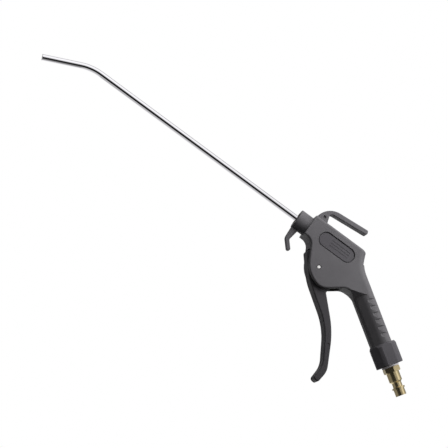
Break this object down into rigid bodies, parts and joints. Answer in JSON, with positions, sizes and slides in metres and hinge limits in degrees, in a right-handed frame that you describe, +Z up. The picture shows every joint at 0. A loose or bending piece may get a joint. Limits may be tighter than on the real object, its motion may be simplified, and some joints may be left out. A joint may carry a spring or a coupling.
{
  "type": "air blow gun",
  "caption": "Pistol-grip air blow gun with a long bent metal nozzle tube, lever trigger, two moulded hanging hooks and a brass quick-release hose plug.",
  "frame": {"origin": "centre of the nose end of the hose plug, in the gun's plane of symmetry", "axes": "+X backward, away from the nozzle and the gun's longest direction; +Y square to the plane of symmetry, the shortest direction; +Z up with the gun held as shown"},
  "size_m": [0.3337, 0.024, 0.302],
  "materials": {
    "body_plastic": "fine-textured matte dark grey glass-filled nylon",
    "nut_plastic": "fine-textured matte dark grey plastic",
    "trigger_plastic": "matte near-black plastic",
    "label_plastic": "satin dark grey plastic",
    "nozzle_chrome": "polished chrome plate",
    "brass": "turned brass",
    "plug_brass": "bright turned brass",
    "pin_steel": "ground steel",
    "washer_nylon": "translucent white nylon",
    "seal_rubber": "black nitrile rubber"
  },
  "bodies": {
    "gun_body": {"body_housing": "body_plastic", "label_inlay_left": "label_plastic", "label_inlay_right": "label_plastic", "nozzle_tube": "nozzle_chrome", "nozzle_tip": "nozzle_chrome", "nozzle_bush": "brass", "nozzle_o_ring": "seal_rubber", "trigger_pin": "pin_steel", "valve_gland": "brass", "gland_o_ring": "seal_rubber", "stem_o_ring": "seal_rubber", "valve_seat": "brass", "seat_o_ring": "seal_rubber", "return_spring": "pin_steel", "end_nut": "nut_plastic", "inlet_adaptor": "brass", "inlet_o_ring": "seal_rubber", "sealing_washer": "washer_nylon", "hose_plug": "plug_brass"},
    "trigger": {"trigger": "trigger_plastic"},
    "valve": {"valve_stem": "pin_steel", "poppet": "brass", "poppet_seal": "seal_rubber", "stem_clip": "pin_steel"}
  },
  "joints": [
    {"name": "trigger_pull", "type": "hinge", "parent": "gun_body", "child": "trigger", "pos_m": [-0.07792, 0, 0.11287], "axis": [0, -1, 0], "range_deg": [0, 10], "stiffness_Nm_per_rad": 0.6, "springref_deg": -20.05},
    {"name": "valve_slide", "type": "slide", "parent": "gun_body", "child": "valve", "axis": [0.9336, 0, 0.3584], "range_m": [0, 0.00301], "deforming": ["return_spring"]}
  ],
  "couplings": [
    {"joint": "valve_slide", "follows": "trigger_pull", "m_per_rad": 0.0172}
  ]
}
